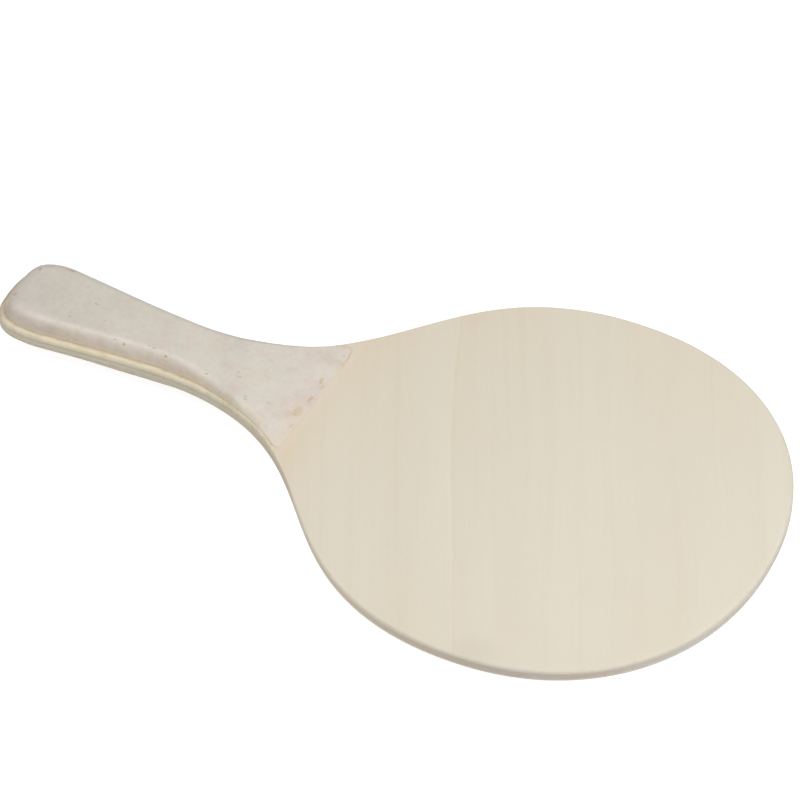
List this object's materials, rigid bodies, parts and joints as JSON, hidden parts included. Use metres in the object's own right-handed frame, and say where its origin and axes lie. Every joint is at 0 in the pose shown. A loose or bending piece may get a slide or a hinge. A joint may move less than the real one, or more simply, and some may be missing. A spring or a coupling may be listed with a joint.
{
  "type": "beach game paddle",
  "caption": "Flat round-bladed wooden beach paddle cut from plywood, with a waisted handle and a rounded fibreboard grip scale glued to each side of it.",
  "frame": {"origin": "under the middle of the paddle's length and width, level with the outer face of the rear grip scale", "axes": "+X from the butt to the tip of the blade, +Y across the blade, +Z out of the front face"},
  "size_m": [0.33, 0.185, 0.0192],
  "materials": {
    "face_veneer": "sanded, unfinished pale veneer with faint grain",
    "core_veneer": "sanded edge of the cross ply",
    "fibreboard": "smooth sealed fibreboard with fine dark specks",
    "glue": "thin cured glue film"
  },
  "bodies": {
    "root": {"front_face_veneer": "face_veneer", "core_veneer": "core_veneer", "rear_face_veneer": "face_veneer", "front_ply_glue_line": "glue", "rear_ply_glue_line": "glue", "front_handle_scale": "fibreboard", "rear_handle_scale": "fibreboard", "front_scale_glue_film": "glue", "rear_scale_glue_film": "glue"}
  },
  "joints": []
}
